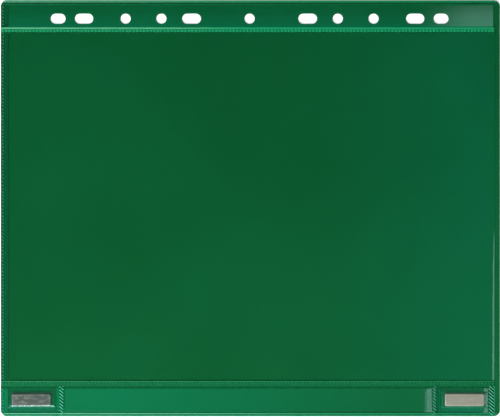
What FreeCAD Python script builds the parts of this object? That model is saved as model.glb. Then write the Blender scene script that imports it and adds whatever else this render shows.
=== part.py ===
import FreeCAD, Part
import math
import os

# Leaf outline, lying on its green face with the mouth of the pocket towards +X
leaf_width = 318.0
leaf_height = 265.0
corner_radius = 4.0
mouth_setback = 3.6

# Film stack above the table
back_film = 0.30
film_gap = 0.35
front_film = 0.20
front_floor = back_film + film_gap
stack = front_floor + front_film

# Weld seams that part the pocket from its two strips, and the fold line beside each
binding_margin = 17.0
magnet_margin = 19.2
seam_width = 3.2
rim_width = 0.5
fold_gap = 0.55

# Serrated weld texture
tooth_pitch = 2.2
tooth_valley = 0.42
tooth_crest = 0.74
flank_share = 0.22

# Welds along the outer edges
end_weld_width = 4.6
end_slant = 40.0
binding_edge_width = 1.4
magnet_edge_width = 1.9
edge_rim = 0.4
edge_height = 0.50

# Welds across the magnet strip
cross_pitch = 2.1
cross_slant = 40.0
left_cross = (-123.4, -118.7)
right_inner_cross = (115.7, 120.4)
right_outer_cross = (151.3, 155.4)

# Punched holes: half spacing of each pair, and the slot's stretch between its end centres
hole_radius = 3.25
hole_inset = 11.7
hole_shift = -0.5
round_pairs = [56.2, 79.0]
slot_pairs = [(37.0, 5.5), (105.5, 5.2), (122.0, 3.0)]

# Bar magnets and the raised covers over them
magnet_length = 25.0
magnet_width = 8.0
magnet_thickness = 1.5
magnet_edge = 0.3
magnet_y = -122.0
left_magnet_x = -139.6
right_magnet_x = 136.4
left_travel = (0.8, 2.0)
right_travel = (2.0, 0.8)
cover_play = 0.15
cover_headroom = 0.05
cover_slope = 1.0

left = -leaf_width / 2
right = leaf_width / 2
bottom = -leaf_height / 2
top = leaf_height / 2
film_left = left + end_weld_width
film_right = right - mouth_setback
binding_fold = top - binding_margin
magnet_fold = bottom + magnet_margin
hole_y = top - hole_inset

up = FreeCAD.Vector(0, 0, 1)
origin = FreeCAD.Vector(0, 0, 0)


def box(x0, x1, y0, y1, z0, z1):
    return Part.makeBox(x1 - x0, y1 - y0, z1 - z0, FreeCAD.Vector(x0, y0, z0))


def leaf_prism(z0, z1):
    prism = box(left, right, bottom, top, z0, z1)
    upright = [e for e in prism.Edges if abs(e.tangentAt(e.FirstParameter).z) > 0.9]
    return prism.makeFillet(corner_radius, upright)


def back_sheet(y0, y1):
    return leaf_prism(0, back_film).common(box(left, right, y0, y1, 0, back_film))


def front_sheet(x0, x1, y0, y1):
    return box(x0, x1, y0, y1, front_floor, stack)


def joined(first, *others):
    return first.fuse(list(others)).removeSplitter()


def tooth_profile(start, count, pitch):
    flank = flank_share * pitch
    flat = pitch / 2 - flank
    points = []
    for i in range(count):
        x = start + i * pitch
        points.append((x + flat / 2, tooth_valley))
        points.append((x + flat / 2 + flank, tooth_crest))
        points.append((x + flat * 1.5 + flank, tooth_crest))
        points.append((x + flat * 1.5 + flank * 2, tooth_valley))
    return points


def toothed_block(length, width, pitch_wanted, slant):
    """Serrated weld along +X from the origin, its ridges crossing towards +Y at the slant angle."""
    count = round(length / pitch_wanted)
    pitch = length / count
    lean = width * math.tan(math.radians(slant))
    spare = math.ceil(abs(lean) / pitch) + 1
    start = -spare * pitch
    ridge = tooth_profile(start, count + 2 * spare, pitch)
    finish = length + spare * pitch
    section = [(start, back_film), (start, tooth_valley)] + ridge
    section += [(finish, tooth_valley), (finish, back_film), (start, back_film)]
    wire = Part.makePolygon([FreeCAD.Vector(x, 0, z) for x, z in section])
    shift = FreeCAD.Vector(-lean / 2, 0, 0)
    ridges = Part.Face(wire).extrude(FreeCAD.Vector(lean, width, 0))
    ridges.translate(shift)
    return ridges.common(box(0, length, 0, width, back_film, tooth_crest))


def fold_rim(length):
    """Raised rim beside the fold line, with a half-round nose on the fold axis y = 0."""
    radius = stack / 2
    corners = [
        FreeCAD.Vector(0, 0, stack),
        FreeCAD.Vector(0, -rim_width, stack),
        FreeCAD.Vector(0, -rim_width, back_film),
        FreeCAD.Vector(0, 0, back_film),
        FreeCAD.Vector(0, 0, 0),
    ]
    nose = Part.Arc(corners[-1], FreeCAD.Vector(0, radius, radius), corners[0]).toShape()
    section = Part.Wire(Part.makePolygon(corners).Edges + [nose])
    return Part.Face(section).extrude(FreeCAD.Vector(length, 0, 0))


def fold_seam():
    """Serrated weld from the closed end to the mouth, fold axis on y = 0 and pocket towards -Y."""
    length = film_right - left
    teeth = toothed_block(length, seam_width - 2 * rim_width, tooth_pitch, 0)
    teeth.translate(FreeCAD.Vector(0, rim_width - seam_width, 0))
    inner = box(0, length, -seam_width, rim_width - seam_width, back_film, stack)
    seam = joined(fold_rim(length), teeth, inner)
    seam.translate(FreeCAD.Vector(left, 0, 0))
    return seam


def end_weld(y0, y1, slant):
    """Serrated weld up the closed end, following the leaf's outline."""
    length = y1 - y0
    teeth = toothed_block(length, end_weld_width - edge_rim, tooth_pitch, slant)
    teeth.translate(FreeCAD.Vector(0, edge_rim, 0))
    weld = joined(teeth, box(0, length, 0, edge_rim, back_film, stack))
    weld.rotate(origin, up, 90)
    weld.translate(FreeCAD.Vector(film_left, y0, 0))
    return weld.common(leaf_prism(0, stack))


def edge_weld(width):
    """Plain pressed weld along the closed long edge, rim on the inner side at y = 0, edge towards +Y."""
    pressed = box(film_left, film_right, 0, width, back_film, edge_height)
    rim = box(film_left, film_right, 0, edge_rim, back_film, stack)
    return joined(pressed, rim)


def cross_weld(x0, x1):
    """Serrated weld across the magnet strip, closing the end of a magnet's room."""
    y0 = bottom + magnet_edge_width
    length = magnet_fold - fold_gap - y0
    teeth = toothed_block(length, x1 - x0, cross_pitch, cross_slant)
    teeth.rotate(origin, up, 90)
    teeth.translate(FreeCAD.Vector(x1, y0, 0))
    return teeth


def punch(x, stretch):
    """Cutter for one round hole, or for a slot when its end centres are apart."""
    depth = stack + 2
    cutter = None
    for side in ([-0.5, 0.5] if stretch else [0]):
        place = FreeCAD.Vector(x + side * stretch, hole_y, -1)
        end = Part.makeCylinder(hole_radius, depth, place)
        cutter = cutter.fuse(end) if cutter else end
    if stretch:
        half = stretch / 2
        middle = box(x - half, x + half, hole_y - hole_radius, hole_y + hole_radius, -1, depth - 1)
        cutter = joined(cutter, middle)
    return cutter


def punches():
    cutters = [punch(hole_shift, 0)]
    for sign in (-1, 1):
        cutters += [punch(hole_shift + sign * x, 0) for x in round_pairs]
        cutters += [punch(hole_shift + sign * x, stretch) for x, stretch in slot_pairs]
    return cutters


def rectangle(x0, x1, y0, y1, z):
    corners = [(x0, y0), (x1, y0), (x1, y1), (x0, y1), (x0, y0)]
    return Part.makePolygon([FreeCAD.Vector(x, y, z) for x, y in corners])


def raised_room(x, travel, z0):
    """Tapered block over a magnet and its travel, foot at z0."""
    back = x - magnet_length / 2 - travel[0] - cover_play
    front = x + magnet_length / 2 + travel[1] + cover_play
    half = magnet_width / 2 + cover_play
    low, high = magnet_y - half, magnet_y + half
    rise = back_film + magnet_thickness + cover_headroom - front_floor
    foot = rectangle(back - cover_slope, front + cover_slope, low - cover_slope, high + cover_slope, z0)
    crown = rectangle(back, front, low, high, z0 + rise)
    return Part.makeLoft([foot, crown], True, True)


def magnet_cover(x0, x1, x, travel):
    flat = front_sheet(x0, x1, bottom + magnet_edge_width, magnet_fold - fold_gap)
    shell = joined(flat, raised_room(x, travel, stack))
    return shell.cut(raised_room(x, travel, front_floor))


def magnet(x):
    half_length, half_width = magnet_length / 2, magnet_width / 2
    bar = box(
        x - half_length, x + half_length,
        magnet_y - half_width, magnet_y + half_width,
        back_film, back_film + magnet_thickness,
    )
    return bar.makeFillet(magnet_edge, bar.Edges)


def pocket():
    binding = fold_seam()
    binding.translate(FreeCAD.Vector(0, binding_fold, 0))
    lower = fold_seam().mirror(origin, FreeCAD.Vector(0, 1, 0))
    lower.translate(FreeCAD.Vector(0, magnet_fold, 0))
    low, high = magnet_fold + seam_width, binding_fold - seam_width
    return {
        "back_sheet": back_sheet(magnet_fold, binding_fold),
        "front_sheet": front_sheet(film_left, film_right, low, high),
        "binding_seam": binding,
        "magnet_seam": lower,
        "closed_end_seam": end_weld(low, high, end_slant),
    }


def binding_strip():
    low, high = binding_fold + fold_gap, top - binding_edge_width
    edge = edge_weld(binding_edge_width)
    edge.translate(FreeCAD.Vector(0, high, 0))
    holes = punches()
    return {
        "binding_back_film": back_sheet(low, top).cut(holes),
        "binding_front_film": front_sheet(film_left, film_right, low, high).cut(holes),
        "binding_edge_weld": edge,
        "binding_end_weld": end_weld(low, top, end_slant),
    }


def magnet_strip():
    low, high = bottom + magnet_edge_width, magnet_fold - fold_gap
    edge = edge_weld(magnet_edge_width).mirror(origin, FreeCAD.Vector(0, 1, 0))
    edge.translate(FreeCAD.Vector(0, low, 0))
    left_cover = magnet_cover(film_left, left_cross[0], left_magnet_x, left_travel)
    right_cover = magnet_cover(
        right_inner_cross[1], right_outer_cross[0], right_magnet_x, right_travel
    )
    return {
        "magnet_back_film": back_sheet(bottom, high),
        "magnet_front_film": front_sheet(left_cross[1], right_inner_cross[0], low, high),
        "left_magnet_cover": left_cover,
        "right_magnet_cover": right_cover,
        "magnet_edge_weld": edge,
        "magnet_end_weld": end_weld(bottom, high, end_slant),
        "left_cross_weld": cross_weld(*left_cross),
        "right_inner_cross_weld": cross_weld(*right_inner_cross),
        "right_outer_cross_weld": cross_weld(*right_outer_cross),
    }


os.makedirs("parts", exist_ok=True)
nodes = {**pocket(), **binding_strip(), **magnet_strip()}
nodes["left_magnet"] = magnet(left_magnet_x)
nodes["right_magnet"] = magnet(right_magnet_x)
for name, shape in nodes.items():
    shape.exportStep("parts/" + name + ".step")
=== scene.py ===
import bpy
import math
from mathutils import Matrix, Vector


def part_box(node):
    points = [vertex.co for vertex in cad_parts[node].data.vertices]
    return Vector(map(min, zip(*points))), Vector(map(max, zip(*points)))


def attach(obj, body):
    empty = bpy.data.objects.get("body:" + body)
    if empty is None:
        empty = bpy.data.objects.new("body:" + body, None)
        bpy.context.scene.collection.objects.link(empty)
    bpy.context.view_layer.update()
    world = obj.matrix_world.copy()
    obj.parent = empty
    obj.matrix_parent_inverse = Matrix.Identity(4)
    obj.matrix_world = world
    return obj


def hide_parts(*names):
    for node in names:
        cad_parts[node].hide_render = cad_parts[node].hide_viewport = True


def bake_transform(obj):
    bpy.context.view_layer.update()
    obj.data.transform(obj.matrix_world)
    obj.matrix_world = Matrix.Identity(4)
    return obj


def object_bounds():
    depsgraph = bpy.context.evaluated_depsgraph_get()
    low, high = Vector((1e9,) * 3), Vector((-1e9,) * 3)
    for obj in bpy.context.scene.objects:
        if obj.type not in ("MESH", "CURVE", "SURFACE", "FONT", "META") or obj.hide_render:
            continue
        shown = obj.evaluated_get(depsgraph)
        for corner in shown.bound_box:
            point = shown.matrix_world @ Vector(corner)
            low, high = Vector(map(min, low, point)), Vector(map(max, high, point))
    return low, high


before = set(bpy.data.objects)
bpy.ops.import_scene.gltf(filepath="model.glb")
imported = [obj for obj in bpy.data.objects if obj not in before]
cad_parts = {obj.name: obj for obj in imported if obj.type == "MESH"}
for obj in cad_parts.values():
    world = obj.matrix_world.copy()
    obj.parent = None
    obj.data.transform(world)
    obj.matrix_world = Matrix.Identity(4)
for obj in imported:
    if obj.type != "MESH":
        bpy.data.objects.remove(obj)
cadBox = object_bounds()
mm = 0.001
mergeGap = 0.002 * mm  # points closer than this become one
slack = 0.01 * mm  # allowance when picking by place

# the leaf's main lines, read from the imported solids
leafLow, leafHigh = (Vector(corner) for corner in cadBox)
pocketLow, pocketHigh = (Vector(corner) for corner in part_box("front_sheet"))
backLow, backHigh = (Vector(corner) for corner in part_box("back_sheet"))
filmTop = pocketHigh.z
greenTop = backHigh.z
foldUp = backHigh.y  # the binding strip folds here
foldDown = backLow.y  # the magnet strip folds here
print("frame loaded")


# selecting and shaping

def activate(piece):
    bpy.ops.object.select_all(action="DESELECT")
    piece.select_set(True)
    bpy.context.view_layer.objects.active = piece


def pick(piece, test, kind="VERT"):  # selects by place and leaves the piece in edit mode
    activate(piece)
    bpy.ops.object.mode_set(mode="EDIT")
    bpy.ops.mesh.select_mode(type=kind)
    bpy.ops.mesh.select_all(action="DESELECT")
    bpy.ops.object.mode_set(mode="OBJECT")
    mesh = piece.data
    if kind == "VERT":
        for vertex in mesh.vertices:
            vertex.select = test(vertex.co)
    elif kind == "EDGE":
        for edge in mesh.edges:
            first, second = (mesh.vertices[i].co for i in edge.vertices)
            edge.select = test(first, second)
    else:
        for face in mesh.polygons:
            face.select = test(face.center)
    bpy.ops.object.mode_set(mode="EDIT")


def everything(place):
    return True


def done():
    bpy.ops.object.mode_set(mode="OBJECT")


def sized(name, x0, x1, y0, y1, z0=0.0, z1=None):  # puts the new primitive in its box
    piece = bpy.context.object
    piece.name = name
    high = z0 if z1 is None else z1
    piece.location = ((x0 + x1) / 2, (y0 + y1) / 2, (z0 + high) / 2)
    piece.scale = (x1 - x0, y1 - y0, 1 if z1 is None else z1 - z0)
    bpy.ops.object.transform_apply(location=True, rotation=True, scale=True)
    return piece


def addBlock(name, *box):
    bpy.ops.object.select_all(action="DESELECT")
    bpy.ops.mesh.primitive_cube_add(size=1)
    return sized(name, *box)


def addGrid(name, x0, x1, y0, y1, z, step):
    bpy.ops.object.select_all(action="DESELECT")
    bpy.ops.mesh.primitive_grid_add(
        x_subdivisions=max(1, round((x1 - x0) / step)),
        y_subdivisions=max(1, round((y1 - y0) / step)), size=1)
    return sized(name, x0, x1, y0, y1, z)


def cutRows(piece, places, axis="Y"):  # extra rows of vertices across the piece
    for place in places:
        point = (place, 0, 0) if axis == "X" else (0, place, 0)
        across = (1, 0, 0) if axis == "X" else (0, 1, 0)
        pick(piece, everything)
        bpy.ops.mesh.bisect(plane_co=point, plane_no=across)
        done()


def apply(piece, kind, **settings):
    activate(piece)
    modifier = piece.modifiers.new(kind.title(), kind)
    for key, value in settings.items():
        setattr(modifier, key, value)
    bpy.ops.object.modifier_apply(modifier=modifier.name)


def cutWith(piece, cutter, operation="DIFFERENCE"):
    apply(piece, "BOOLEAN", operation=operation, object=cutter, solver="EXACT")


def remove(piece):
    activate(piece)
    bpy.ops.object.delete()


def cleanUp(piece, angle=35):
    pick(piece, everything)
    bpy.ops.mesh.remove_doubles(threshold=mergeGap)
    bpy.ops.mesh.normals_make_consistent(inside=False)
    done()
    bpy.ops.object.shade_smooth_by_angle(angle=math.radians(angle))


def dress(piece, finish, slot, *nodes):
    piece.data.materials.clear()
    piece.data.materials.append(finish)
    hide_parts(*nodes)


# shader building

class Value:  # a shader socket that takes part in sums
    def __init__(self, tree, socket):
        self.tree = tree
        self.socket = socket

    def reckon(self, operation, first, second):
        node = self.tree.nodes.new("ShaderNodeMath")
        node.operation = operation
        for place, value in enumerate((first, second)):
            if isinstance(value, Value):
                self.tree.links.new(value.socket, node.inputs[place])
            else:
                node.inputs[place].default_value = value
        return Value(self.tree, node.outputs[0])

    def __add__(self, other):
        return self.reckon("ADD", self, other)

    def __radd__(self, other):
        return self.reckon("ADD", other, self)

    def __sub__(self, other):
        return self.reckon("SUBTRACT", self, other)

    def __rsub__(self, other):
        return self.reckon("SUBTRACT", other, self)

    def __mul__(self, other):
        return self.reckon("MULTIPLY", self, other)

    def __rmul__(self, other):
        return self.reckon("MULTIPLY", other, self)

    def __truediv__(self, other):
        return self.reckon("DIVIDE", self, other)

    def __rtruediv__(self, other):
        return self.reckon("DIVIDE", other, self)

    def __pow__(self, other):
        return self.reckon("POWER", self, other)

    def most(self, other):
        return self.reckon("MAXIMUM", self, other)

    def least(self, other):
        return self.reckon("MINIMUM", self, other)


class Shader:  # the nodes of one material or world
    def __init__(self, owner):
        owner.use_nodes = True
        self.owner = owner
        self.tree = owner.node_tree
        self.tree.nodes.clear()

    def node(self, kind, settings=None, sockets=None, out=0):
        made = self.tree.nodes.new("ShaderNode" + kind)
        for key, value in (settings or {}).items():
            if key == "stops":
                self.setStops(made.color_ramp.elements, value)
            else:
                setattr(made, key, value)
        for key, value in (sockets or {}).items():
            if isinstance(value, Value):
                self.tree.links.new(value.socket, made.inputs[key])
            else:
                made.inputs[key].default_value = value
        return Value(self.tree, made.outputs[out])

    def setStops(self, elements, stops):
        while len(elements) < len(stops):
            elements.new(1.0)
        for element, (place, colour) in zip(elements, stops):
            element.position = place
            element.color = colour

    def along(self, axis):
        place = self.node("TexCoord", out="Object")
        return self.node("SeparateXYZ", sockets={"Vector": place}, out=axis)

    def noise(self, scale, detail=2.0, rough=0.5, stretch=(1, 1, 1)):
        place = self.node("TexCoord", out="Object")
        spread = self.node("Mapping", sockets={"Vector": place, "Scale": stretch})
        return self.node("TexNoise", sockets={
            "Vector": spread, "Scale": scale, "Detail": detail, "Roughness": rough})

    def ramp(self, value, low, high):  # 0 below low, 1 above high, smooth between
        return self.node("MapRange", {"interpolation_type": "SMOOTHSTEP"}, {
            "Value": value, "From Min": low, "From Max": high})

    def tint(self, share, first, second):
        return self.node("Mix", {"data_type": "RGBA"}, {0: share, 6: first, 7: second}, out=2)

    def bump(self, height, strength, distance):
        return self.node("Bump", sockets={
            "Height": height, "Strength": strength, "Distance": distance})

    def finish(self, shader, kind="Material"):
        end = self.tree.nodes.new("ShaderNodeOutput" + kind)
        self.tree.links.new(shader.socket, end.inputs["Surface"])
        return self.owner


def newShader(name):
    return Shader(bpy.data.materials.new(name))


# finishes

greenFilm = {
    "deep": (0.0024, 0.108, 0.0270, 1),
    "light": (0.0028, 0.120, 0.0325, 1),
    "cloudScale": 9.0,
    "cloudEdges": (0.35, 0.65),
    "grainScale": 2600.0,
    "grainDepth": 0.02 * mm,
    "roughness": 0.42,
    "grainRoughness": 0.16,
    "cloudRoughness": 0.10,
    "gloss": 0.05,
}


def makeGreenFilm():
    shader = newShader("greenFilm")
    cloud = shader.noise(greenFilm["cloudScale"], 3.0)
    grain = shader.noise(greenFilm["grainScale"], 2.0, 0.6)
    share = shader.ramp(cloud, *greenFilm["cloudEdges"])
    colour = shader.tint(share, greenFilm["deep"], greenFilm["light"])
    rough = greenFilm["roughness"] + (grain - 0.5) * greenFilm["grainRoughness"]
    rough = rough + (cloud - 0.5) * greenFilm["cloudRoughness"]
    normal = shader.bump(grain, 0.25, greenFilm["grainDepth"])
    return shader.finish(shader.node("BsdfPrincipled", sockets={
        "Base Color": colour, "Roughness": rough, "Normal": normal,
        "Specular IOR Level": greenFilm["gloss"]}))


clearFilm = {
    "mirrorColour": (0.62, 1.0, 1.0, 1),
    "faceOn": 0.048,  # share mirrored straight on
    "rippleScale": 26.0,
    "rippleDepth": 0.4 * mm,
    "speckScale": 900.0,
    "speckle": 0.015,  # what the specks do to the roughness
    "veilRoughness": 0.6,
}
# each look's haze is the film's own clouding, ramped along its axis between two places; the ramp is
# painted sheen that makes one side of the sheet lighter
panelLook = {
    "colour": (0.004, 0.62, 0.40, 1),
    "hazeAndPaintedLight": (0.004, 0.030),
    "axis": "X",
    "between": (0.02, 0.16),
    "roughness": 0.07,
}
spineLook = {
    "colour": (0.008, 0.66, 0.34, 1),
    "hazeAndPaintedLight": (0.060, 0.024),
    "axis": "Y",
    "between": (0.116, 0.128),
    "roughness": 0.07,
    "paintedGlare": 0.085,  # painted glare: a pale patch on the strip's loose end standing in for the reflection of the light there
    "paintedGlareColour": (0.42, 0.88, 0.73, 1),
    "paintedGlareBetween": (0.104, 0.150),
    "paintedGlareThin": (0.121, 0.131),  # the painted glare thins towards the top edge
    "paintedGlareThinShare": 0.55,
    "paintedShadowFill": 0.10,  # painted light: a whiter band along the seam that lifts the shadow the weld casts on the green film below
    "paintedShadowFillBetween": (0.1159, 0.1167),
}
stripLook = {
    "colour": (0.004, 0.70, 0.33, 1),
    "hazeAndPaintedLight": (0.072, 0.030),
    "axis": "X",
    "between": (-0.08, 0.10),
    "roughness": 0.16,
}
coverLook = {
    "colour": (0.020, 0.66, 0.46, 1),
    "hazeAndPaintedLight": (0.050, 0.020),
    "axis": "Y",
    "between": (-0.1268, -0.1258),
    "roughness": 0.13,
}


def makeClearFilm(name, look):
    shader = newShader(name)
    ripple = shader.noise(clearFilm["rippleScale"], 2.0)
    speck = shader.noise(clearFilm["speckScale"], 3.0, 0.6)
    # painted sheen: the haze ramps up towards the lighter side of each sheet
    side = shader.ramp(shader.along(look["axis"]), *look["between"])
    low, high = look["hazeAndPaintedLight"]
    hazeAndPaintedLight = (low + side * (high - low)) * (0.8 + ripple * 0.4)
    colour = look["colour"]
    # painted glare on the strip's loose end: cloud here is that glare's share, thinning towards the top
    # edge
    if "paintedGlare" in look:
        glareThinning = shader.ramp(shader.along("Y"), *look["paintedGlareThin"]) * look["paintedGlareThinShare"]
        cloud = shader.ramp(shader.along("X"), *look["paintedGlareBetween"]) * look["paintedGlare"]
        cloud = cloud * (0.7 + ripple * 0.6) * (1 - glareThinning)
        # painted light: a whiter band along the seam lifting the weld's shadow
        paintedShadowFill = (1 - shader.ramp(shader.along("Y"), *look["paintedShadowFillBetween"])) * look["paintedShadowFill"]
        hazeAndPaintedLight = hazeAndPaintedLight + cloud + paintedShadowFill
        colour = shader.tint(cloud / hazeAndPaintedLight, look["colour"], look["paintedGlareColour"])
    normal = shader.bump(ripple, 0.15, clearFilm["rippleDepth"])
    veil = shader.node("BsdfPrincipled", sockets={
        "Base Color": colour, "Roughness": clearFilm["veilRoughness"], "Specular IOR Level": 0.0})
    seeThrough = shader.node("BsdfTransparent", sockets={"Color": (1, 1, 1, 1)})
    body = shader.node("MixShader", sockets={0: hazeAndPaintedLight, 1: seeThrough, 2: veil})
    mirror = shader.node("BsdfPrincipled", sockets={
        "Base Color": clearFilm["mirrorColour"], "Metallic": 1.0,
        "Roughness": look["roughness"] + (speck - 0.5) * clearFilm["speckle"], "Normal": normal})
    facing = shader.node("LayerWeight", sockets={"Blend": 0.5, "Normal": normal}, out="Facing")
    share = clearFilm["faceOn"] + facing ** 5.0 * (1 - clearFilm["faceOn"])  # Schlick's rule
    return shader.finish(shader.node("MixShader", sockets={0: share, 1: body, 2: mirror}))


weldLooks = {  # colours from the bottom of the press mark up to its teeth; the dark deep colour is painted shade in the recess, and the light crest colour is the weld's paler green with painted highlight
    "seam": {
        "deep": (0.002, 0.075, 0.022, 1),
        "valley": (0.007, 0.290, 0.104, 1),
        "crest": (0.016, 0.345, 0.150, 1),
        "gloss": 0.34,
        "roughness": 0.26,
        "dull": 0.5,  # how much the bottom lacks of that gloss
        "lip": (0.003, 0.168, 0.058, 1),
        "fade": (-0.062, 0.0),  # where the gloss goes, along X
        "fadeGloss": 1.0,
        "fadeColour": 0.0,
    },
    "fold": {
        "deep": (0.002, 0.070, 0.022, 1),
        "valley": (0.003, 0.140, 0.046, 1),
        "crest": (0.008, 0.210, 0.082, 1),
        "gloss": 0.30,
        "roughness": 0.28,
        "dull": 0.7,
    },
    "end": {
        "deep": (0.001, 0.055, 0.018, 1),
        "valley": (0.001, 0.088, 0.028, 1),
        "crest": (0.024, 0.270, 0.130, 1),
        "gloss": 0.10,
        "roughness": 0.36,
        "dull": 1.0,
    },
    "tab": {
        "deep": (0.002, 0.125, 0.050, 1),
        "valley": (0.003, 0.170, 0.070, 1),
        "crest": (0.018, 0.260, 0.125, 1),
        "gloss": 0.10,
        "roughness": 0.36,
        "dull": 1.0,
    },
    "leftCross": {
        "deep": (0.001, 0.050, 0.018, 1),
        "valley": (0.003, 0.205, 0.082, 1),
        "crest": (0.065, 0.540, 0.310, 1),
        "gloss": 0.75,
        "roughness": 0.24,
        "dull": 1.0,
    },
    "rightCross": {
        "deep": (0.001, 0.040, 0.014, 1),
        "valley": (0.002, 0.115, 0.046, 1),
        "crest": (0.065, 0.540, 0.310, 1),
        "gloss": 0.75,
        "roughness": 0.24,
        "dull": 1.0,
    },
    "edge": {
        "deep": (0.002, 0.065, 0.021, 1),
        "valley": (0.003, 0.125, 0.042, 1),
        "crest": (0.016, 0.310, 0.145, 1),
        "gloss": 0.34,
        "roughness": 0.26,
        "dull": 0.6,
        # the crest colour is painted darker towards the right: painted fading of the highlight line
        "fade": (-0.16, 0.15),
        "fadeGloss": 0.6,
        "fadeColour": 0.5,
    },
}
weldFinish = {
    "lip": (0.0018, 0.138, 0.040, 1),
    "heights": (0.40, 0.49, 0.74, 0.81, 0.85),  # mm, for deep, valley, crest, crest and lip
    "span": (0.36, 0.86),
    "shineFrom": (0.4, 0.7),  # share of the span where the gloss comes in
    "meltScale": 420.0,
    "meltDepth": 0.05 * mm,
    "meltHeight": 0.08,  # how far the melt shifts the colours, as a share of the span
    "meltRoughness": 0.16,
    "mattRoughness": 0.7,
    "mattGloss": 0.02,
}


def makeWeld(name, look):
    shader = newShader(name)
    melt = shader.noise(weldFinish["meltScale"], 3.0)
    low, high = weldFinish["span"]
    height = shader.node("MapRange", sockets={
        "Value": shader.along("Z"), "From Min": low * mm, "From Max": high * mm})
    lip = look.get("lip", weldFinish["lip"])
    # colour by height: darker at the bottom of each press mark, painted shade; lighter on the crests,
    # partly painted highlight
    colours = (look["deep"], look["valley"], look["crest"], look["crest"], lip)
    places = [(tall - low) / (high - low) for tall in weldFinish["heights"]]
    colour = shader.node("ValToRGB", {"stops": list(zip(places, colours))}, {
        "Fac": height + (melt - 0.5) * weldFinish["meltHeight"]})
    shine = 1 - look["dull"] * (1 - shader.ramp(height, *weldFinish["shineFrom"]))
    # the fade dims the gloss along X, and its colour share paints the crest darker there: painted fading
    # of the highlight
    if "fade" in look:
        faded = shader.ramp(shader.along("X"), *look["fade"])
        colour = shader.tint(faded * look["fadeColour"], colour, lip)
        shine = shine * (1 - faded * look["fadeGloss"])
    rough = look["roughness"] + (melt - 0.5) * weldFinish["meltRoughness"]
    normal = shader.bump(melt, 0.30, weldFinish["meltDepth"])
    matt = shader.node("BsdfPrincipled", sockets={
        "Base Color": colour, "Roughness": weldFinish["mattRoughness"], "Normal": normal,
        "Specular IOR Level": weldFinish["mattGloss"]})
    glossy = shader.node("BsdfPrincipled", sockets={
        "Base Color": colour, "Roughness": rough, "Normal": normal,
        "Specular IOR Level": look["gloss"]})
    return shader.finish(shader.node("MixShader", sockets={0: shine, 1: matt, 2: glossy}))


magnetLooks = {
    "left_magnet": {
        "dark": (0.050, 0.047, 0.044, 1),
        "pale": (0.30, 0.29, 0.270, 1),
        "streak": 0.20,
        "scuffs": 0.48,
        "wear": 0.20,
    },
    "right_magnet": {
        "dark": (0.32, 0.225, 0.165, 1),
        "pale": (0.52, 0.52, 0.44, 1),
        "streak": 0.80,
        "scuffs": 0.15,
        "wear": 0.12,
    },
}
magnetFinish = {
    "brushScale": 1100.0,
    "brushStretch": (0.05, 1, 1),
    "blotScale": 800.0,
    "blotStretch": (0.3, 1, 1),
    "blotEdges": (0.46, 0.66),
    "nickScale": 1500.0,
    "nickDepth": 0.03 * mm,
    "wornRim": (0.7 * mm, 1.5 * mm),
    "roughness": 0.36,
    "metallic": 0.25,
}


def makeMagnetFinish(name, look, low, high):
    shader = newShader(name)
    brush = shader.noise(magnetFinish["brushScale"], 4.0, 0.6, magnetFinish["brushStretch"])
    blot = shader.noise(magnetFinish["blotScale"], 4.0, 0.6, magnetFinish["blotStretch"])
    nick = shader.noise(magnetFinish["nickScale"], 2.0, 0.5)
    x = shader.along("X")
    y = shader.along("Y")
    border = (x - low.x).least(high.x - x).least(y - low.y).least(high.y - y)
    rim = (1 - shader.ramp(border, *magnetFinish["wornRim"])) * look["wear"]
    worn = shader.ramp(blot, *magnetFinish["blotEdges"]) * look["scuffs"] + rim * (0.5 + nick)
    share = (brush * look["streak"] + worn + (nick - 0.5) * 0.3 + 0.1).most(0.0).least(1.0)
    colour = shader.tint(share, look["dark"], look["pale"])
    rough = magnetFinish["roughness"] + (1 - brush) * 0.14 + worn * 0.12
    normal = shader.bump(brush * 0.6 + nick * 0.4, 0.35, magnetFinish["nickDepth"])
    return shader.finish(shader.node("BsdfPrincipled", sockets={
        "Base Color": colour, "Metallic": magnetFinish["metallic"], "Roughness": rough, "Normal": normal}))


green = makeGreenFilm()
clearPanel = makeClearFilm("clearPanel", panelLook)
clearSpine = makeClearFilm("clearSpine", spineLook)
clearStrip = makeClearFilm("clearStrip", stripLook)
clearCover = makeClearFilm("clearCover", coverLook)
welds = {kind: makeWeld(kind + "Weld", look) for kind, look in weldLooks.items()}
print("finishes made")


# green back film, in three panels joined at the folds

backFilm = {
    "cornerRadius": 4.0 * mm,
    "cornerSegments": 12,
    "lipStart": 157.5 * mm,  # raised line along the open side
    "lipTop": (157.9 * mm, 158.7 * mm),
    "lipHeight": 0.16 * mm,
    "foldRows": (0.15 * mm, 0.30 * mm, 0.50 * mm, 0.75 * mm),
}
holes = {
    "radius": 3.25 * mm,
    "inset": 11.7 * mm,
    "shift": -0.5 * mm,
    "round": (0.0, 56.2 * mm, 79.0 * mm),
    "slots": ((37.0 * mm, 5.5 * mm), (105.5 * mm, 5.2 * mm), (122.0 * mm, 3.0 * mm)),
    "sides": 48,
    "punchLength": 8 * mm,
}


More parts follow.
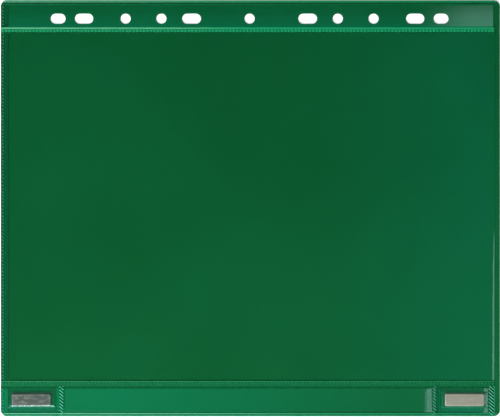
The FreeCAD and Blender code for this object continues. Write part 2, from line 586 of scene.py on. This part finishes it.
def makePunch():
    punches = []
    places = [(sign * x, 0.0) for x in holes["round"] for sign in (1, -1) if x or sign > 0]
    places += [(sign * x, stretch) for x, stretch in holes["slots"] for sign in (1, -1)]
    y = leafHigh.y - holes["inset"]
    for x, stretch in places:
        bpy.ops.object.select_all(action="DESELECT")
        bpy.ops.mesh.primitive_cylinder_add(
            vertices=holes["sides"], radius=holes["radius"], depth=holes["punchLength"],
            location=(x + holes["shift"], y, 0), rotation=(0, 0, math.pi / holes["sides"]))
        bpy.ops.object.transform_apply(location=True, rotation=True, scale=True)
        punch = bpy.context.object
        if stretch:
            for side in (1, -1):
                middle = x + holes["shift"]
                pick(punch, lambda place: (place.x - middle) * side > slack)
                bpy.ops.transform.translate(value=(side * stretch / 2, 0, 0))
                done()
        punches.append(punch)
    bpy.ops.object.select_all(action="DESELECT")
    for punch in punches:
        punch.select_set(True)
    bpy.context.view_layer.objects.active = punches[0]
    bpy.ops.object.join()
    return bpy.context.object


def makeLeafOutline():
    outline = addBlock("outline", leafLow.x, leafHigh.x, leafLow.y, leafHigh.y, -5 * mm, 10 * mm)
    pick(outline, lambda first, second: abs(first.z - second.z) > mm, "EDGE")
    bpy.ops.mesh.bevel(
        offset=backFilm["cornerRadius"], segments=backFilm["cornerSegments"], affect="EDGES")
    done()
    return outline


def makeBackFilm(name, y0, y1, rows, node, outline, punch=None):
    sheet = addBlock(name, leafLow.x - mm, leafHigh.x + mm, y0, y1, 0, greenTop)
    cutRows(sheet, rows)
    lipLow, lipHigh = backFilm["lipTop"]
    cutRows(sheet, (backFilm["lipStart"], lipLow, lipHigh), "X")
    pick(sheet, lambda place: place.z > greenTop / 2 and lipLow - slack < place.x < lipHigh + slack)
    bpy.ops.transform.translate(value=(0, 0, backFilm["lipHeight"]))
    done()
    cutWith(sheet, outline, "INTERSECT")
    if punch:
        cutWith(sheet, punch)
    cleanUp(sheet)
    dress(sheet, green, "green_film", node)
    return sheet


outline = makeLeafOutline()
punch = makePunch()
upRows = [foldUp + row for row in backFilm["foldRows"]]
downRows = [foldDown - row for row in backFilm["foldRows"]]
pocketBack = makeBackFilm("pocketBack", foldDown, foldUp, (), "back_sheet", outline)
bindingBack = makeBackFilm("bindingBack", foldUp, leafHigh.y + mm, upRows, "binding_back_film",
                           outline, punch)
magnetBack = makeBackFilm("magnetBack", leafLow.y - mm, foldDown, downRows, "magnet_back_film", outline)
print("back films made")


# pressed welds: one tooth is modelled, repeated along the weld and closed down to the green film
# sections run across the weld as (across, height) in mm; teeth stand on a numbered step of the section

bindingSeam = {
    "look": "seam",
    "pitch": 2.2,
    "slant": 0,
    "section": ((-0.60, 0.86), (-0.48, 0.85), (-0.34, 0.40), (-0.12, 0.40), (-0.02, 0.48), (1.85, 0.48),
                (1.97, 0.46), (2.77, 0.84), (2.95, 0.85), (3.35, 0.86)),
    "teeth": ((4, 0.30),),
    "tooth": (0.16, 0.84),
    "taper": (0.66, 0.95),
    "round": 0.06,
}
magnetSeam = {
    "look": "fold",
    "pitch": 2.2,
    "slant": 0,
    "section": ((-1.50, 0.86), (-1.30, 0.85), (-1.00, 0.46), (0.40, 0.46), (0.75, 0.53), (0.90, 0.53),
                (1.05, 0.46), (2.15, 0.46), (2.45, 0.46), (2.95, 0.84), (3.20, 0.85), (3.40, 0.86)),
    "teeth": ((6, 0.18),),
    "tooth": (0.16, 0.84),
    "taper": (0.55, 0.86),
    "round": 0.05,
}
endWeld = {
    "look": "end",
    "pitch": 2.2,
    "slant": 40,
    "section": ((-0.20, 0.86), (0.06, 0.85), (0.10, 0.46), (0.25, 0.46), (0.85, 0.46), (1.15, 0.46),
                (2.05, 0.46), (2.45, 0.46), (3.90, 0.46), (4.05, 0.44), (4.25, 0.54), (4.90, 0.52)),
    "teeth": ((3, 0.10), (5, 0.12), (7, 0.36)),
    "tooth": (0.18, 0.82),
    "taper": (0.30, 0.42),
    "round": 0.04,
}
leftCross = {
    "look": "leftCross",
    "pitch": 2.1,
    "slant": 40,
    "section": ((-0.15, 0.86), (0.06, 0.85), (0.10, 0.42), (0.25, 0.42), (2.95, 0.42), (3.20, 0.49),
                (4.45, 0.49), (4.65, 0.49), (4.69, 0.85), (4.90, 0.86)),
    "teeth": ((3, 0.38), (5, -0.05)),  # and shallow pits beside the teeth
    "tooth": (0.22, 0.78),
    "taper": (0.30, 0.84),
    "round": 0.05,
}
rightInnerCross = {
    **leftCross,
    "look": "rightCross",
    "section": ((-0.15, 0.86), (0.06, 0.85), (0.10, 0.49), (0.25, 0.49), (1.95, 0.49), (2.20, 0.42),
                (4.50, 0.42), (4.65, 0.42), (4.69, 0.85), (4.90, 0.86)),
    "teeth": ((3, -0.06), (5, 0.38)),
    "tooth": (0.27, 0.73),
}
rightOuterCross = {
    **leftCross,
    "look": "rightCross",
    "section": ((-0.30, 0.62), (0.06, 0.62), (0.10, 0.42), (0.25, 0.42), (3.80, 0.42), (3.95, 0.42),
                (3.99, 0.98), (4.20, 1.00)),
    "teeth": ((3, 0.38),),
}
tabWeld = {**endWeld, "look": "tab"}
bindingEdge = {
    "look": "edge",
    "section": ((0.00, 0.86), (0.15, 0.85), (0.45, 0.58), (0.80, 0.62), (1.20, 0.42), (1.60, 0.42),
                (2.30, 0.72), (3.00, 0.78), (3.40, 0.72)),
}
magnetEdge = {
    "look": "edge",
    "section": ((0.00, 0.68), (0.40, 0.74), (0.85, 0.72), (1.15, 0.59), (1.68, 0.59), (2.25, 0.84),
                (2.50, 0.86)),
}


def layWeld(name, recipe, length):  # runs along X from 0 to length, with its section across Y
    pitch = recipe.get("pitch", length / mm) * mm
    section = [(across * mm, height * mm) for across, height in recipe["section"]]
    bpy.ops.object.select_all(action="DESELECT")
    bpy.ops.mesh.primitive_plane_add(size=1)
    (across, height), (nextAcross, nextHeight) = section[:2]
    band = sized(name, 0, pitch, across, nextAcross, height)
    pick(band, lambda place: place.y > (across + nextAcross) / 2)
    bpy.ops.transform.translate(value=(0, 0, nextHeight - height))
    for (across, height), (nextAcross, nextHeight) in zip(section[1:], section[2:]):
        bpy.ops.mesh.extrude_region_move(
            TRANSFORM_OT_translate={"value": (0, nextAcross - across, nextHeight - height)})
    done()
    if "teeth" in recipe:
        raiseTeeth(band, recipe, section, pitch)
        repeatTeeth(band, recipe, section, pitch, length)
    closeDown(band)
    return band


def raiseTeeth(band, recipe, section, pitch):
    cutRows(band, [share * pitch for share in recipe["tooth"]], "X")
    for row, tall in recipe["teeth"]:
        low, high = section[row][0], section[row + 1][0]
        middle = (pitch / 2, (low + high) / 2, section[row][1] + tall * mm)
        pick(band, lambda place: low < place.y < high and abs(place.x - middle[0]) < 0.1 * pitch, "FACE")
        bpy.ops.mesh.extrude_region_move(TRANSFORM_OT_translate={"value": (0, 0, tall * mm)})
        bpy.ops.transform.resize(value=(*recipe["taper"], 1), center_override=middle)
        bpy.ops.mesh.bevel(offset=recipe["round"] * mm, segments=1, affect="EDGES")
        done()


def repeatTeeth(band, recipe, section, pitch, length):
    slant = math.tan(math.radians(recipe["slant"]))
    spare = math.ceil(slant * section[-1][0] / pitch) + 1 if slant else 0
    apply(band, "ARRAY", count=math.ceil(length / pitch) + spare + 1, use_relative_offset=False,
          use_constant_offset=True, constant_offset_displace=(pitch, 0, 0),
          use_merge_vertices=True, merge_threshold=mergeGap)
    for vertex in band.data.vertices:
        vertex.co.x += slant * vertex.co.y - spare * pitch
    for end, outward in ((0, -1), (length, 1)):
        pick(band, everything)
        bpy.ops.mesh.bisect(plane_co=(end, 0, 0), plane_no=(outward, 0, 0), clear_outer=True)
        done()


def closeDown(band):  # takes the open border down to the green film and fills the underside
    pick(band, everything)
    bpy.ops.mesh.remove_doubles(threshold=mergeGap)
    bpy.ops.mesh.select_mode(type="EDGE")
    bpy.ops.mesh.select_all(action="DESELECT")
    bpy.ops.mesh.select_non_manifold(extend=False)
    bpy.ops.mesh.extrude_region_move(TRANSFORM_OT_translate={"value": (0, 0, -0.01 * mm)})
    bpy.ops.transform.resize(value=(1, 1, 0), center_override=(0, 0, greenTop))
    bpy.ops.mesh.edge_face_add()
    done()


weldSmoothing = 16  # degrees, low enough to keep the teeth crisp


def setWeld(name, recipe, length, place, turn, node, trimmed=False):
    band = layWeld(name, recipe, length)
    band.rotation_euler = (0, 0, math.radians(turn))
    band.location = (*place, 0)
    activate(band)
    bpy.ops.object.transform_apply(location=True, rotation=True, scale=True)
    if trimmed:
        cutWith(band, outline, "INTERSECT")
    cleanUp(band, weldSmoothing)
    dress(band, welds[recipe["look"]], "weld", node)
    return band


edge = {"binding": 129.4 * mm, "magnet": -132.8 * mm}  # where each edge weld's section starts
stripLow = edge["magnet"] + magnetEdge["section"][-1][0] * mm
stripHigh = foldDown + magnetSeam["section"][0][0] * mm
spineLow = pocketHigh.y + bindingSeam["section"][-1][0] * mm
spineHigh = edge["binding"]
panelLow = foldDown + magnetSeam["section"][-1][0] * mm
panelHigh = pocketHigh.y + bindingSeam["section"][0][0] * mm
weldInner = pocketLow.x  # inner side of the closed end
seamLength = pocketHigh.x - leafLow.x
edgeLength = leafHigh.x - leafLow.x + 2 * mm  # trimmed to the leaf's outline later

bindingSeamWeld = setWeld("bindingSeam", bindingSeam, seamLength, (leafLow.x, pocketHigh.y), 0,
                          "binding_seam")
magnetSeamWeld = setWeld("magnetSeam", magnetSeam, seamLength, (leafLow.x, foldDown), 0,
                         "magnet_seam")
bindingEdgeWeld = setWeld("bindingEdge", bindingEdge, edgeLength, (leafLow.x - mm, edge["binding"]), 0,
                          "binding_edge_weld", True)
magnetEdgeWeld = setWeld("magnetEdge", magnetEdge, edgeLength, (leafLow.x - mm, edge["magnet"]), 0,
                         "magnet_edge_weld", True)
pocketEndWeld = setWeld("closedEndSeam", endWeld, panelHigh - panelLow, (weldInner, panelLow), 90,
                        "closed_end_seam", True)
bindingEndWeld = setWeld("bindingEnd", endWeld, spineHigh - spineLow, (weldInner, spineLow), 90,
                         "binding_end_weld", True)
magnetEndWeld = setWeld("magnetEnd", tabWeld, stripHigh - stripLow, (weldInner, stripLow), 90,
                        "magnet_end_weld", True)
crossPlaces = (
    ("leftCross", leftCross, -118.8 * mm, "left_cross_weld"),
    ("rightInnerCross", rightInnerCross, 120.5 * mm, "right_inner_cross_weld"),
    ("rightOuterCross", rightOuterCross, 155.5 * mm, "right_outer_cross_weld"),
)
crossReach = (1.4 * mm, 1.45 * mm)  # over the bottom edge, and up to the fold
crossLow = stripLow - crossReach[0]
crossLength = stripHigh + crossReach[1] - crossLow
crossWelds = [setWeld(name, recipe, crossLength, (x, crossLow), 90, node)
              for name, recipe, x, node in crossPlaces]
print("welds laid")


# clear films over the pocket and the two strips

magnetTravel = {"left_magnet": (0.8 * mm, 2.0 * mm), "right_magnet": (2.0 * mm, 0.8 * mm)}
film = {
    "thickness": 0.20 * mm,
    "step": 4.0 * mm,
    "borderRows": (0.3 * mm, 0.8 * mm, 1.6 * mm),
    "dip": 0.10 * mm,  # how far a film sinks into the welds round it
    "dipWidth": 1.2 * mm,
}
panelFilm = {
    "endX": 155.4 * mm,
    "gape": 0.5 * mm,  # how far the mouth stands open
    "gapeLength": 70 * mm,
    "gapeFade": 25 * mm,  # towards the two seams
    "curl": 0.16 * mm,
    "curlLength": 0.8 * mm,
    "curlFade": 60 * mm,
}
spineFilm = {"endX": 154.6 * mm, "bulge": 0.12 * mm, "bulgeX": 128 * mm, "bulgeLength": 27 * mm}
stripFilm = {"puff": 0.29 * mm, "puffLength": 24 * mm, "sink": 0.21 * mm, "sinkLength": 6.5 * mm}
coverFilm = {
    "clearance": 0.03 * mm,
    "sideRoom": 0.10 * mm,
    "steep": 1.75,  # how the film falls off past the magnet's ends
    "endStart": 0.45 * mm,  # how far short of the magnet's reach it comes down to the outer weld
    "endLift": 0.40 * mm,  # what is left of its height there
    "hug": 0.50 * mm,  # how far in from the magnet's long sides the film starts down
    "crease": 0.60 * mm,  # rounding of the film over the magnet's edge
    "slope": 0.95,
    "sink": 0.22 * mm,  # into the outer weld
    "sinkLength": 2.5 * mm,
    "step": 0.5 * mm,
}


def clamp(value):
    return min(1.0, max(0.0, value))


def layFilm(name, x0, x1, y0, y1, lift, step=film["step"], rows=(), columns=()):
    sheet = addGrid(name, x0, x1, y0, y1, filmTop, step)
    border = film["borderRows"]
    cutRows(sheet, [y0 + row for row in border] + [y1 - row for row in border] + list(rows))
    cutRows(sheet, [x0 + row for row in border] + [x1 - row for row in border] + list(columns), "X")
    for vertex in sheet.data.vertices:
        vertex.co.z += lift(vertex.co.x, vertex.co.y)
    pick(sheet, everything)
    bpy.ops.mesh.normals_make_consistent(inside=False)
    done()
    apply(sheet, "SOLIDIFY", thickness=film["thickness"], offset=-1)
    return sheet


def dipAt(distance):  # a film sinks a little where it runs into a weld
    return -film["dip"] * (1 - clamp(distance / film["dipWidth"])) ** 2


def panelLift(x, y):
    border = min(y - panelLow, panelHigh - y, x - panelLeft)
    mouth = clamp(1 - (panelFilm["endX"] - x) / panelFilm["gapeLength"]) ** 2
    fade = panelFilm["gapeFade"]
    across = clamp((y - panelLow) / fade) * clamp((panelHigh - y) / fade)
    curl = clamp(1 - (panelFilm["endX"] - x) / panelFilm["curlLength"]) * clamp(-y / panelFilm["curlFade"])
    return dipAt(border) + panelFilm["gape"] * mouth * across - panelFilm["curl"] * curl


def spineLift(x, y):
    border = min(y - spineLow, spineHigh - y, x - panelLeft)
    along = clamp(1 - abs(x - spineFilm["bulgeX"]) / spineFilm["bulgeLength"])
    hump = along * along * (3 - 2 * along)
    across = math.sin(math.pi * clamp((y - spineLow) / (spineHigh - spineLow)))
    return dipAt(border) + spineFilm["bulge"] * hump * across


def stripLift(x, y):
    border = min(y - stripLow, stripHigh - y)
    left = crossSides[1][0] - x
    puff = stripFilm["puff"] * clamp(1 - (left - stripFilm["sinkLength"]) / stripFilm["puffLength"]) ** 2
    drop = (stripFilm["puff"] + stripFilm["sink"]) * clamp(1 - left / stripFilm["sinkLength"]) ** 2
    return dipAt(border) + puff - drop


def coverLift(x0, x1, magnet, sink):
    low, high = (Vector(corner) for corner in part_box(magnet))
    travel = magnetTravel[magnet]
    left = low.x - travel[0] - coverFilm["sideRoom"]
    right = high.x + travel[1] + (-coverFilm["endStart"] if sink else coverFilm["sideRoom"])
    bottom = low.y + coverFilm["hug"]
    top = high.y - coverFilm["hug"]
    rise = high.z + coverFilm["clearance"] + film["thickness"] - filmTop
    fall = (rise - coverFilm["endLift"]) / (x1 - right) if sink else coverFilm["steep"]
    crease = coverFilm["crease"]

    def lift(x, y):
        endDrop = max(coverFilm["steep"] * (left - x), fall * (x - right))
        across = max(bottom - y, y - top, 0)
        sideDrop = coverFilm["slope"] * (math.sqrt(across ** 2 + crease ** 2) - crease)
        raised = max(rise - max(endDrop, sideDrop), 0)
        end = clamp(1 - (x1 - x) / coverFilm["sinkLength"]) ** 1.2
        return raised - sink * end * (1 - clamp(raised / coverFilm["endLift"]))

    reach = math.sqrt((rise / coverFilm["slope"] + crease) ** 2 - crease ** 2)  # where it meets the strip
    rows = [bottom - share * crease for share in (1, 0.5, 0)]
    rows += [top + share * crease for share in (0, 0.5, 1)]
    rows += [bottom - reach, top + reach]
    columns = [left - rise / coverFilm["steep"], left, right]
    if not sink:
        columns.append(right + rise / coverFilm["steep"])
    return lift, rows, columns


panelLeft = weldInner - endWeld["section"][0][0] * mm
crossSides = [(x - recipe["section"][-1][0] * mm, x - recipe["section"][0][0] * mm)
              for name, recipe, x, node in crossPlaces]
panel = layFilm("pocketFront", panelLeft, panelFilm["endX"], panelLow, panelHigh, panelLift)
spine = layFilm("bindingFront", panelLeft, spineFilm["endX"], spineLow, spineHigh, spineLift, 2 * mm)
cutWith(spine, punch)
strip = layFilm("magnetFront", crossSides[0][1], crossSides[1][0], stripLow, stripHigh, stripLift, 2 * mm)
covers = []
for name, magnet, x0, x1, sink in (
        ("leftMagnetCover", "left_magnet", panelLeft, crossSides[0][0], 0),
        ("rightMagnetCover", "right_magnet", crossSides[1][1], crossSides[2][0], coverFilm["sink"])):
    lift, rows, columns = coverLift(x0, x1, magnet, sink)
    covers.append(layFilm(name, x0, x1, stripLow, stripHigh, lift, coverFilm["step"], rows, columns))
for sheet, finish, node in ((panel, clearPanel, "front_sheet"), (spine, clearSpine, "binding_front_film"),
                            (strip, clearStrip, "magnet_front_film"),
                            (covers[0], clearCover, "left_magnet_cover"),
                            (covers[1], clearCover, "right_magnet_cover")):
    cleanUp(sheet)
    dress(sheet, finish, "clear_film", node)
remove(outline)
remove(punch)
print("clear films laid")


# bar magnets with rounded upper edges

magnetBar = {
    "rounding": 0.70 * mm,
    "cornerRounding": 0.90 * mm,
    "segments": 4,
    "rim": 0.12 * mm,
    "smoothing": 40,
}


def makeMagnet(name, node):
    low, high = (Vector(corner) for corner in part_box(node))
    bar = addBlock(name, low.x, high.x, low.y, high.y, low.z, high.z)
    pick(bar, lambda first, second: abs(first.z - second.z) > 0.1 * mm, "EDGE")
    bpy.ops.mesh.bevel(offset=magnetBar["cornerRounding"], segments=magnetBar["segments"], affect="EDGES")
    done()
    pick(bar, lambda first, second: min(first.z, second.z) > high.z - slack, "EDGE")
    bpy.ops.mesh.bevel(offset=magnetBar["rounding"], segments=magnetBar["segments"], affect="EDGES")
    done()
    pick(bar, lambda place: place.z > high.z - slack, "FACE")
    bpy.ops.mesh.inset(thickness=magnetBar["rim"])
    done()
    cleanUp(bar, magnetBar["smoothing"])
    dress(bar, makeMagnetFinish(name + "Metal", magnetLooks[node], low, high), "magnet", node)
    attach(bar, node)


makeMagnet("leftMagnet", "left_magnet")
makeMagnet("rightMagnet", "right_magnet")
print("magnets made")


# what moves with what; pieces across the two folds only get their transforms applied

for piece in (pocketBack, panel, pocketEndWeld):
    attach(piece, "pocket")
for piece in (bindingEdgeWeld, spine):
    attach(piece, "binding_strip")
for piece in (magnetEdgeWeld, magnetEndWeld, strip, *covers):
    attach(piece, "magnet_strip")

bend = {"strip": 0.75 * mm, "bindingWall": (-0.75 * mm, 0.0), "magnetWall": (0.1 * mm, -0.5 * mm)}


def bendAt(piece, strip, start, end):
    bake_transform(piece)


for piece in (bindingBack, bindingEndWeld):
    bendAt(piece, "binding_strip", foldUp, foldUp + bend["strip"])
for piece in (magnetBack, *crossWelds):
    bendAt(piece, "magnet_strip", foldDown, foldDown - bend["strip"])
bendAt(bindingSeamWeld, "binding_strip", *(foldUp + shift for shift in bend["bindingWall"]))
bendAt(magnetSeamWeld, "magnet_strip", *(foldDown + shift for shift in bend["magnetWall"]))


# every film is a flat sheet; its area is worked out from its size, less the punched holes, and not kept

def declareFilm(sheet, punched=0.0):
    low = Vector(min(vertex.co[i] for vertex in sheet.data.vertices) for i in range(3))
    high = Vector(max(vertex.co[i] for vertex in sheet.data.vertices) for i in range(3))
    width, length = high.x - low.x, high.y - low.y
    width * length - punched


slotArea = sum(stretch for x, stretch in holes["slots"]) * 4 * holes["radius"]
roundCount = 2 * len(holes["round"]) - 1 + 2 * len(holes["slots"])
punchedArea = slotArea + roundCount * math.pi * holes["radius"] ** 2
declareFilm(pocketBack)
declareFilm(bindingBack, punchedArea)
declareFilm(magnetBack)
declareFilm(panel)
declareFilm(spine, punchedArea)
declareFilm(strip)
declareFilm(covers[0])
declareFilm(covers[1])


# camera, floor and lights

photo = {"width": 500, "height": 417, "pixelsPerMm": 1.5698, "centreX": 250.4, "centreY": 208.3}
lens = {"focal": 180, "sensor": 36}
ground = {"size": 8, "drop": 0.02 * mm, "colour": (0.9, 0.9, 0.9, 1), "glow": 0.35}
lamps = {  # place, width, height and power
    "keyBox": ((-0.50, -0.70, 0.65), 1.2, 0.8, 19.5),
    "sideBox": ((0.735, -0.05, 0.98), 0.9, 0.9, 3.6),
}
sky = {"horizon": 0.42, "fall": 0.41, "top": 0.8}


def addCamera():
    wide = photo["width"] / photo["pixelsPerMm"] * mm
    x = (photo["width"] / 2 - photo["centreX"]) / photo["pixelsPerMm"] * mm
    y = (photo["centreY"] - photo["height"] / 2) / photo["pixelsPerMm"] * mm
    away = wide * lens["focal"] / lens["sensor"]
    bpy.ops.object.camera_add(location=(x, y, filmTop + away), rotation=(0, 0, 0))
    camera = bpy.context.object
    camera.data.lens = lens["focal"]
    camera.data.sensor_width = lens["sensor"]
    camera.data.clip_end = 50
    bpy.context.scene.camera = camera


def addFloor():
    bpy.ops.object.select_all(action="DESELECT")
    bpy.ops.mesh.primitive_plane_add(size=ground["size"], location=(0, 0, -ground["drop"]))
    floor = bpy.context.object
    floor.name = "floor"
    shader = newShader("paleFloor")
    shows = shader.node("LightPath", out="Is Camera Ray")
    shows = shows.most(shader.node("LightPath", out="Is Glossy Ray"))
    shows = shows.most(shader.node("LightPath", out="Is Transmission Ray"))
    matte = shader.node("BsdfDiffuse", sockets={"Color": ground["colour"]})
    glow = shader.node("Emission", sockets={"Color": (1, 1, 1, 1), "Strength": shows * ground["glow"]})
    floor.data.materials.append(shader.finish(shader.node("AddShader", sockets={0: matte, 1: glow})))


def addLamp(name, place, sizeX, sizeY, power):
    bpy.ops.object.light_add(type="AREA", location=place)
    lamp = bpy.context.object
    lamp.name = name
    lamp.rotation_euler = (-Vector(place)).to_track_quat("-Z", "Y").to_euler()
    lamp.data.shape = "RECTANGLE"
    lamp.data.size = sizeX
    lamp.data.size_y = sizeY
    lamp.data.energy = power


def addWorld():
    bpy.context.scene.world = bpy.data.worlds.new("studio")
    shader = Shader(bpy.context.scene.world)
    upward = shader.node("TexCoord", out="Generated")
    height = shader.node("SeparateXYZ", sockets={"Vector": upward}, out="Z")
    glow = sky["horizon"] - shader.ramp(height, 0.0, sky["top"]) * sky["fall"]
    strength = glow.most(shader.node("LightPath", out="Is Camera Ray"))
    shader.finish(shader.node("Background", sockets={"Strength": strength}), "World")


addCamera()
addFloor()
for name, lamp in lamps.items():
    addLamp(name, *lamp)
addWorld()
bpy.context.scene.view_settings.view_transform = "Standard"
print("camera and lights set")
